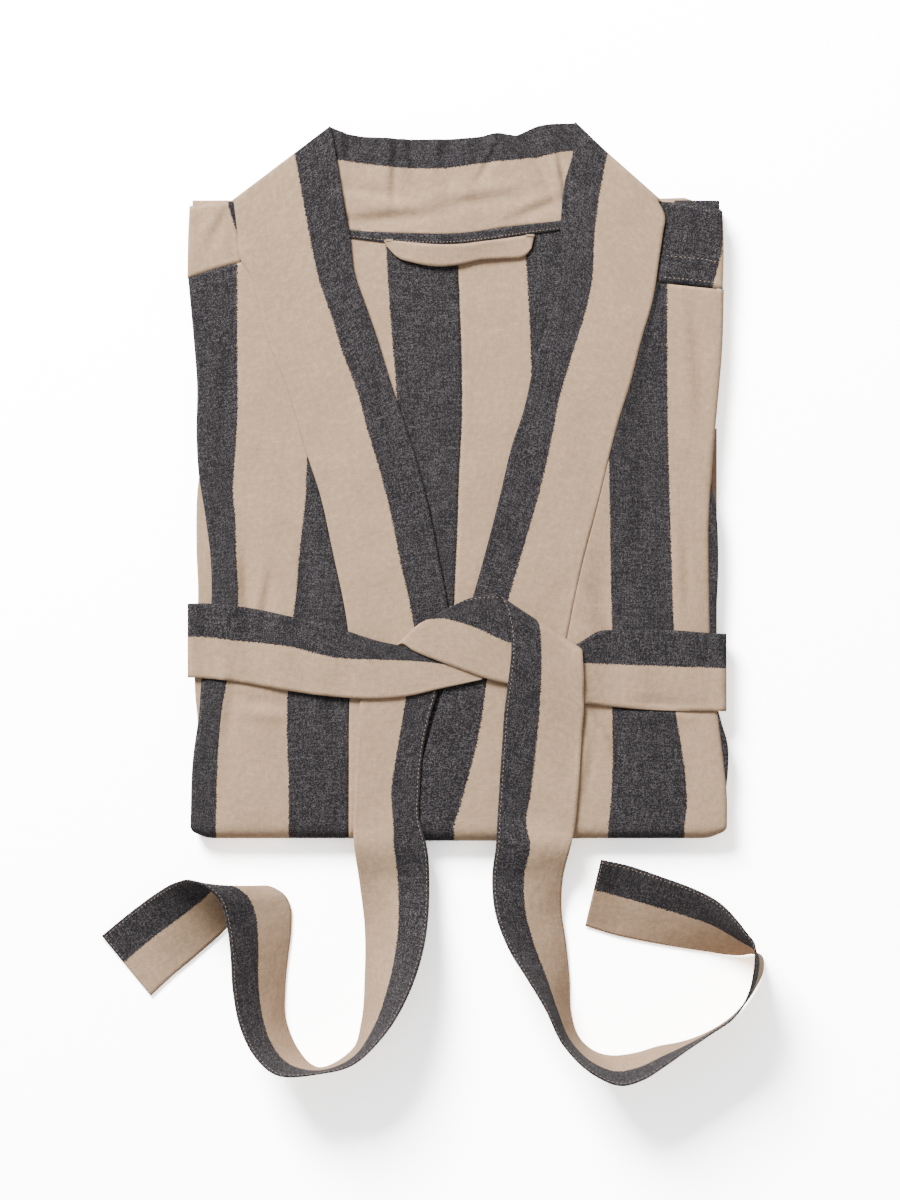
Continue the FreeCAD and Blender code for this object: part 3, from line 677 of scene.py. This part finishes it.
TAPE_Z = 18.9
tape_stations = [
    [(-92, 218, TAPE_Z), (-90, 212.5, TAPE_Z)], [(-41.6, 215.5, TAPE_Z), (-40, 207, TAPE_Z)],
    [(0, 215.3, TAPE_Z), (-1.7, 207, TAPE_Z)], [(20, 217.6, TAPE_Z), (18, 209, TAPE_Z)],
    [(40, 220.4, TAPE_Z), (38, 212, TAPE_Z)], [(92, 226, TAPE_Z), (92, 219.5, TAPE_Z)],
]
tape_patch, tape_marks = strip(tape_stations, [0, 8], 60, 2.0)
tape_patch = relief(tape_patch)
tape = cloth("neck_tape_cloth", [(tape_patch, tape_marks)], dark_cloth, 0.7)
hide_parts("neck_tape")
sew_grid("robe", tape_patch, column=-2, thick=0.7, pitch=2.6, length=1.6)

loop_stations = [
    [(-55.5, 209.5, 19.8), (-53.5, 205.5, 19.8)], [(-48, 209.3, 20.4), (-46, 197.5, 20.3)],
    [(-34, 208, 21.8), (-33, 192.8, 20.9)], [(-16, 206.5, 23.4), (-16, 190, 21.3)],
    [(2, 206.8, 23.6), (0, 191.2, 21.4)], [(18, 208.8, 23), (17, 195, 21.3)],
    [(34, 211, 21.8), (33, 196, 21)], [(48, 213, 20.6), (50, 198, 20.4)],
    [(57.5, 214.2, 19.9), (55, 203.5, 19.9)],
]
loop_patch, loop_marks = strip(loop_stations, [0, 17], 60, 2.5)
loop_patch = relief(loop_patch)
hanger = cloth("hanger_loop_cloth", [(loop_patch, loop_marks)], sand_cloth, 1.1, body=None)
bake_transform(hanger)
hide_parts("hanger_loop")

# ---- Sleeves, pockets and belt loops, out of sight between and under the leaves ----


def flat_tube(sign):
    """A sleeve pressed flat: its outline round the cross-section, at rows along it."""
    low, high, inner, outer = 8.9, 10.3, 14.0, 183.0
    radius = (high - low) / 2
    section = []
    for phi in np.linspace(-math.pi / 2, math.pi / 2, 7):
        section.append((outer + radius * math.cos(phi), (low + high) / 2 + radius * math.sin(phi)))
    for phi in np.linspace(math.pi / 2, 3 * math.pi / 2, 7):
        section.append((inner + radius * math.cos(phi), (low + high) / 2 + radius * math.sin(phi)))
    section.append(section[0])
    run = np.linspace(0, 1, 30)
    rows = np.zeros((len(run), len(section), 3))
    for r, t in enumerate(run):
        narrow = 1 - 0.12 * ramp(t, 0.3, 1)
        for c, (x, z) in enumerate(section):
            rows[r, c] = (sign * (outer - (outer - x) * narrow), -223 + 428 * t, z)
    values = np.repeat(np.abs(rows[:1, :, 0]), len(run), 0)
    return rows, values


for side, sign in (("left", -1), ("right", 1)):
    rows, values = flat_tube(sign)
    sleeve = cloth(f"{side}_sleeve_cloth", [(rows, values)], robe_cloth, 0.8)
    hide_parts(f"{side}_sleeve")
    pocket_stations = [
        [(sign * 72.5, -94.5, 1.2), (sign * 195.5, -94.5, 1.2)],
        [(sign * 72.5, 69.5, 1.2), (sign * 195.5, 69.5, 1.2)],
    ]
    pocket_patch, pocket_marks = strip(pocket_stations, [72, 195], 50)
    pocket = cloth(f"{side}_pocket_cloth", [(pocket_patch, pocket_marks)], robe_cloth, 0.9)
    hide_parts(f"{side}_pocket")
    for column in (0, -1):
        sew_grid("robe", pocket_patch, column=column, thick=0.9, faces=(-1,))
    sew_grid("robe", pocket_patch, row=0, thick=0.9, faces=(-1,))
    sew_grid("robe", pocket_patch, row=42, thick=0.9, faces=(-1,))
    high, low = (63.5, 133.0) if side == "left" else (71.0, 141.0)
    seam = sign * 60.0
    loop_line = [
        (-low, 13.3), (-low + 2, 13.2), (-low + 4, 11.5), (-high - 4, 11.5), (-high - 2, 13.2), (-high, 13.3),
    ]
    stations = [[(seam - 5, y, z), (seam + 5, y, z)] for y, z in loop_line]
    belt_loop_patch, belt_loop_marks = strip(stations, [0, 10], 60, 2.5)
    belt_loop = cloth(f"{side}_belt_loop_cloth", [(belt_loop_patch, belt_loop_marks)], dark_cloth, 0.5)
    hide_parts(f"{side}_belt_loop")

# ---- Belt ----

BELT_MARKS = [-32.0, 0.0, 26.0]
BELT_BACK_Z = 12.65


def side_turn(x, top, middle, bottom, low, high):
    """Stations of the belt's turn round one side of the robe, from the low level up to the high one."""
    stations = []
    for phi in np.linspace(-math.pi / 2, math.pi / 2, 5):
        out = (high - low) / 2 * math.cos(phi) * 0.7
        z = (low + high) / 2 + (high - low) / 2 * math.sin(phi)
        at = x + math.copysign(out, x)
        stations.append([(at, bottom, z), (at, middle, z), (at, top, z)])
    return stations


left_run = [
    [(18, -119.5, 24.6), (20, -113, 24.6), (22, -108, 24.6)],
    [(-16, -127, 24.8), (-14, -107.5, 24.8), (-12, -104, 24.8)],
    [(-38, -132, 24.7), (-36, -105.5, 24.7), (-36, -96, 24.7)],
    [(-68, -134, 24.3), (-68, -104.5, 24.5), (-62, -90, 24.3)],
    [(-97, -132, 23.3), (-93, -103, 23.6), (-90, -81, 23.3)],
    [(-127, -128, 22.2), (-127, -95, 22.6), (-127, -72, 22.2)],
    [(-165, -121.4, 21.6), (-162, -91, 21.8), (-160, -65.4, 21.6)],
    [(-190, -118.7, 21.4), (-190, -88, 21.5), (-190, -62.5, 21.4)],
]
back_run = [
    [(-150, -127, BELT_BACK_Z), (-150, -96, BELT_BACK_Z), (-150, -70, BELT_BACK_Z)],
    [(0, -130, BELT_BACK_Z), (0, -98, BELT_BACK_Z), (0, -72, BELT_BACK_Z)],
    [(150, -136, BELT_BACK_Z), (150, -104, BELT_BACK_Z), (150, -78, BELT_BACK_Z)],
]
right_run = [
    [(190, -143.2, 21.4), (190, -110.8, 21.5), (188, -84.6, 21.4)],
    [(160, -143, 21.6), (160, -109.8, 21.7), (160, -82.6, 21.6)],
    [(121, -140.5, 22), (121, -108.5, 22.2), (121, -82.6, 22)],
    [(103, -138.5, 22.6), (103, -107.7, 22.8), (104, -84, 22.6)],
    [(93, -137.3, 23.1), (92, -107.2, 23.3), (92.5, -91, 23.2)],
    [(80, -135, 23.1), (80, -108, 23.2), (82, -97, 23.1)],
]
belt_stations = (
    left_run
    + side_turn(-199.5, -62.5, -87.5, -118.3, BELT_BACK_Z, 21.3)[::-1]
    + back_run
    + side_turn(198, -85.2, -111, -143.4, BELT_BACK_Z, 21.3)
    + right_run
)
run_patch, run_marks = strip(belt_stations, BELT_MARKS, 420, 3.0)
run_patch = relief(run_patch)
belt_round = cloth("belt_round_cloth", [(run_patch, run_marks)], belt_cloth, BELT_CLOTH)
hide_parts("belt_left_run", "belt_back_run", "belt_right_run")

LEFT_TAIL_TOP = [
    [(60, -128, 25.0), (56, -96, 25.0), (42, -69, 25.0)],
    [(36.5, -122.5, 25.6), (37, -91.5, 26.0), (30, -55.4, 25.8)],
    [(21.5, -118.8, 26.0), (17, -82.5, 26.8), (20, -56, 26.4)],
    [(0, -111, 26.2), (-1, -76, 27.4), (11, -58, 26.8)],
    [(-20, -103.6, 26.2), (-14, -73.8, 27.2), (4, -60.5, 26.8)],
    [(-34, -97.6, 26.0), (-25, -76, 26.6), (-3, -64.5, 26.2)],
    [(-42.5, -92.6, 25.2), (-33, -81.5, 25.0), (-6, -67, 24.6)],
    [(-47, -95, 23.4), (-36, -84.5, 23.2), (-6, -71, 23.4)],
    [(-60, -110, 22.2), (-38, -104, 22.6), (-9, -96, 23.4)],
    [(-72.5, -133, 21.6), (-39, -132, 22.2), (-15.5, -129, 23.4)],
    [(-75, -150, 21.5), (-41.5, -148, 21.8), (-20.5, -146, 23.4)],
    [(-76.6, -175, 21.5), (-46, -175, 21.6), (-26, -172, 23.2)],
    [(-77.6, -205, 21.5), (-50, -203, 21.8), (-28.5, -201, 23.2)],
    [(-78.5, -230, 21.6), (-48.5, -228, 22.2), (-28.5, -226, 23.2)],
]
RIGHT_TAIL_TOP = [
    [(76, -116, 23.4), (55, -98, 23.2), (37, -82, 23.2)],
    [(89.5, -98.5, 24.4), (59, -79.5, 24.0), (30.5, -59.5, 24.0)],
    [(92.6, -97, 25.2), (58.5, -75.2, 25.8), (28, -55.2, 26.2)],
    [(93.2, -101, 26.4), (60, -77.5, 28.2), (30.5, -56.6, 28.2)],
    [(93.6, -108, 26.8), (61.5, -84, 28.8), (34.5, -63, 28.6)],
    [(94.2, -120, 26.4), (62.4, -96, 28.6), (38.8, -80, 28.6)],
    [(94.2, -132, 25.2), (62.3, -112, 27.8), (39.8, -98, 28.2)],
    [(94, -146, 23.8), (61.8, -130, 26.2), (37.6, -120, 27.4)],
    [(92.8, -162, 23.0), (60.5, -150, 24.2), (34.8, -142, 25.0)],
    [(91.5, -182, 22.8), (58.5, -172, 23.0), (33.2, -165, 23.4)],
    [(90, -205, 22.8), (55, -203, 22.9), (31, -200, 23.1)],
    [(87.5, -230, 22.9), (51.3, -229, 23.0), (29.3, -228, 23.2)],
]
LEFT_TAIL_LOOSE = [
    ((-78.0, -241.8, 23.0), (-24.0, -241.8, 23.0)),
    ((-74.0, -273.0, 13.0), (-21.5, -270.0, 21.0)),
    ((-70.0, -309.0, 5.0), (-25.0, -316.0, 36.0)),
    ((-70.0, -343.5, 3.0), (-37.0, -352.5, 49.0)),
    ((-72.5, -378.0, 2.0), (-56.0, -383.0, 56.5)),
    ((-79.0, -399.0, 1.8), (-76.0, -402.0, 59.0)),
    ((-104.0, -413.5, 1.8), (-101.0, -409.5, 59.0)),
    ((-122.0, -398.0, 1.8), (-134.0, -411.0, 57.0)),
    ((-130.0, -378.0, 1.8), (-149.0, -400.0, 51.5)),
    ((-130.5, -352.0, 1.8), (-162.0, -377.0, 43.5)),
    ((-128.5, -330.0, 1.8), (-167.5, -350.0, 40.0)),
    ((-126.0, -308.0, 1.8), (-169.5, -322.0, 37.5)),
    ((-126.5, -292.0, 2.0), (-172.0, -303.0, 37.0)),
    ((-133.0, -281.0, 3.0), (-177.0, -284.0, 41.0)),
    ((-147.0, -276.0, 3.5), (-187.0, -273.0, 45.0)),
    ((-161.0, -285.0, 2.5), (-199.0, -268.5, 42.0)),
    ((-171.0, -303.0, 2.0), (-210.0, -271.0, 31.0)),
    ((-197.0, -328.0, 1.8), (-227.0, -280.5, 18.0)),
    ((-216.0, -344.0, 1.8), (-249.0, -297.0, 8.0)),
    ((-232.0, -359.0, 1.8), (-269.0, -313.5, 3.0)),
]
RIGHT_TAIL_LOOSE = [
    ((85.0, -241.8, 24.8), (28.5, -241.8, 24.8)),
    ((79.0, -268.0, 14.0), (25.5, -268.0, 24.0)),
    ((78.0, -294.0, 5.5), (28.0, -294.0, 34.0)),
    ((81.5, -320.0, 3.0), (38.0, -320.0, 41.0)),
    ((84.0, -346.0, 2.0), (51.5, -341.0, 49.5)),
    ((85.0, -371.0, 1.8), (65.0, -363.0, 56.0)),
    ((91.0, -390.0, 1.8), (78.0, -389.0, 58.0)),
    ((103.0, -401.0, 1.8), (98.0, -409.0, 58.5)),
    ((117.0, -404.5, 1.8), (119.0, -418.5, 58.0)),
    ((134.0, -402.5, 1.8), (136.0, -414.5, 58.5)),
    ((151.0, -397.5, 1.8), (152.0, -404.5, 59.0)),
    ((169.0, -394.0, 1.8), (168.0, -393.0, 59.5)),
    ((188.0, -387.0, 1.8), (185.0, -381.5, 59.0)),
    ((209.0, -373.0, 1.8), (204.0, -368.0, 59.0)),
    ((224.0, -354.0, 1.8), (215.0, -350.0, 58.5)),
    ((230.5, -339.0, 1.8), (218.5, -335.0, 58.0)),
    ((229.0, -328.5, 1.8), (219.5, -323.5, 58.5)),
    ((222.5, -327.0, 1.8), (219.0, -314.5, 58.0)),
    ((214.0, -328.0, 1.8), (213.0, -306.0, 55.0)),
    ((183.0, -324.5, 1.8), (194.0, -285.0, 42.5)),
    ((160.0, -321.0, 1.8), (177.0, -276.0, 34.5)),
    ((138.0, -317.0, 1.8), (152.0, -267.0, 28.5)),
    ((119.0, -313.0, 1.8), (129.0, -259.5, 22.0)),
    ((96.0, -306.0, 1.8), (107.0, -254.5, 25.0)),
]
SAND_SHARE = 0.55
# Middle of each tail at its bend, in metres.
TAIL_X = {"left": -0.05, "right": 0.057}


def bend_tail(piece):
    """Bake the placement of a piece of a tail into its mesh."""
    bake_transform(piece)


def tail(side, top, loose):
    """A tail of the belt with its part of the knot: one ribbon that bends where it leaves the robe."""
    stations = [list(station) for station in top]
    for sand_edge, dark_edge in loose:
        between = [s * (1 - SAND_SHARE) + d * SAND_SHARE for s, d in zip(sand_edge, dark_edge)]
        stations.append([sand_edge, tuple(between), dark_edge])
    patch, marks = strip(stations, BELT_MARKS, 420, 2.9)
    patch = relief(patch)
    piece = cloth(f"{side}_tail_cloth", [(patch, marks)], belt_cloth, BELT_CLOTH, body=None)
    bend_tail(piece)
    for column in (1, -2):
        sew_grid(f"{side}_tail", patch, column=column, thick=BELT_CLOTH, faces=(1, -1))
    sew_grid(f"{side}_tail", patch, row=-2, thick=BELT_CLOTH, faces=(1, -1))
    return piece


left_tail = tail("left", LEFT_TAIL_TOP, LEFT_TAIL_LOOSE)
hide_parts("knot_band", "left_tail_top", "left_tail_drop", "left_tail_bend", "left_tail_end")
right_tail = tail("right", RIGHT_TAIL_TOP, RIGHT_TAIL_LOOSE)
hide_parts("knot_loop", "right_tail_top", "right_tail_drop", "right_tail_bend", "right_tail_end")

# ---- Topstitching of the robe ----

for column in (1, -2):
    sew_grid("robe", run_patch, column=column, thick=BELT_CLOTH)
# Rows left unstitched at the foot and the head of each leg of the neckband.
FOOT_GAP = 4
HEAD_GAP = 14
leg_start = SKIRT_ROWS + TURN_ROWS + FOOT_GAP
leg_end = SKIRT_ROWS + TURN_ROWS + LEG_ROWS - HEAD_GAP
left_leg = slice(leg_start, leg_end)
right_leg = slice(-leg_end, -leg_start)
for part in (left_leg, right_leg):
    sew_grid("robe", band_patch, column=1, thick=DOUBLE_CLOTH, part=part, radius=0.16)
sew_grid("robe", back_patches[2][0], row=-3, part=slice(0, -1))
sew_grid("robe", back_patches[3][0], row=-6, part=slice(1, -1))
sew_grid("robe", back_patches[3][0], row=-2, part=slice(1, -1))
robe_stitching = stitch_mesh("robe_stitching", "robe")
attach(robe_stitching, "robe")
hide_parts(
    "neckband_left_stitching", "neckband_right_stitching", "left_shoulder_stitching",
    "right_shoulder_stitching",
)
for side in TAIL_X:
    tail_stitching = stitch_mesh(f"{side}_tail_stitching", f"{side}_tail")
    bend_tail(tail_stitching)


def bar_tack(group, x_low, x_high, y, z, face):
    """Close stitches side by side across a corner."""
    for x in np.arange(x_low, x_high, 0.45):
        start = np.array([x, y - 1.4, z])
        end = np.array([x + 0.2, y + 1.4, z])
        stitches[group].append((start, end, np.array([0, 0, face]), 0.24))


def tack_mesh(name, rows, body, nodes):
    """The bar tacks of one body as one mesh."""
    stitches[name] = []
    for row in rows:
        bar_tack(name, *row)
    piece = stitch_mesh(name, name)
    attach(piece, body)
    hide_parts(*nodes)


tack_mesh("pocket_tacks", [
    (-80, -74, 67.5, 0.6, -1), (-194, -188, 67.5, 0.6, -1), (74, 80, 67.5, 0.6, -1),
    (188, 194, 67.5, 0.6, -1),
], "robe", ["pocket_bartacks"])
tack_mesh("belt_loop_tacks", [
    (-64, -56, -131.6, 12.9, -1), (-64, -56, -65, 12.9, -1), (56, 64, -139.6, 12.9, -1),
    (56, 64, -72.4, 12.9, -1),
], "robe", ["belt_loop_bartacks"])
tack_mesh("hanger_tacks", [(-54, -49, 209.6, 20.6, 1), (51, 56, 213.2, 20.7, 1)],
"robe", ["hanger_loop_bartacks"])

# ---- Floor, light and camera ----

# The floor is overexposed to white as it is seen, and lights the robe like plain pale paper.
FLOOR_BOUNCE = (0.80, 0.80, 0.80, 1)
FLOOR_SEEN = (8.0, 8.0, 8.0, 1)

bpy.ops.mesh.primitive_plane_add(size=12, location=(0, 0, 0))
floor = bpy.context.object
floor.name = "floor"
paper = bpy.data.materials.new("paper")
paper.use_nodes = True
paper.node_tree.nodes.clear()
paper_end = paper.node_tree.nodes.new("ShaderNodeOutputMaterial")
seen = node(paper.node_tree, "ShaderNodeLightPath").outputs["Is Camera Ray"]
bright = blend_colours(paper.node_tree, seen, FLOOR_BOUNCE, FLOOR_SEEN)
matte = node(paper.node_tree, "ShaderNodeBsdfDiffuse", Color=bright)
paper.node_tree.links.new(matte.outputs[0], paper_end.inputs[0])
floor.data.materials.append(paper)

world = bpy.data.worlds.new("room")
bpy.context.scene.world = world
world.use_nodes = True
world.node_tree.nodes["Background"].inputs["Color"].default_value = (1, 1, 1, 1)
world.node_tree.nodes["Background"].inputs["Strength"].default_value = 0.40


def softbox(name, place, size, power):
    """A square lamp aimed at the middle of the robe."""
    lamp = bpy.data.lights.new(name, "AREA")
    lamp.shape = "SQUARE"
    lamp.size = size
    lamp.energy = power
    holder = bpy.data.objects.new(name, lamp)
    holder.location = place
    bpy.context.scene.collection.objects.link(holder)
    aim = np.array([0, -0.05, 0]) - np.array(place)
    reach = math.hypot(aim[0], aim[1])
    holder.rotation_euler = (math.atan2(reach, -aim[2]), 0, math.atan2(aim[1], aim[0]) - math.pi / 2)


softbox("key", (-1.5, 2.6, 2.3), 1.5, 335)

camera_data = bpy.data.cameras.new("camera")
camera_data.lens = 100
camera_data.sensor_width = 36
camera = bpy.data.objects.new("camera", camera_data)
camera.location = (-0.006, -0.060, 2.52)
bpy.context.scene.collection.objects.link(camera)
bpy.context.scene.camera = camera
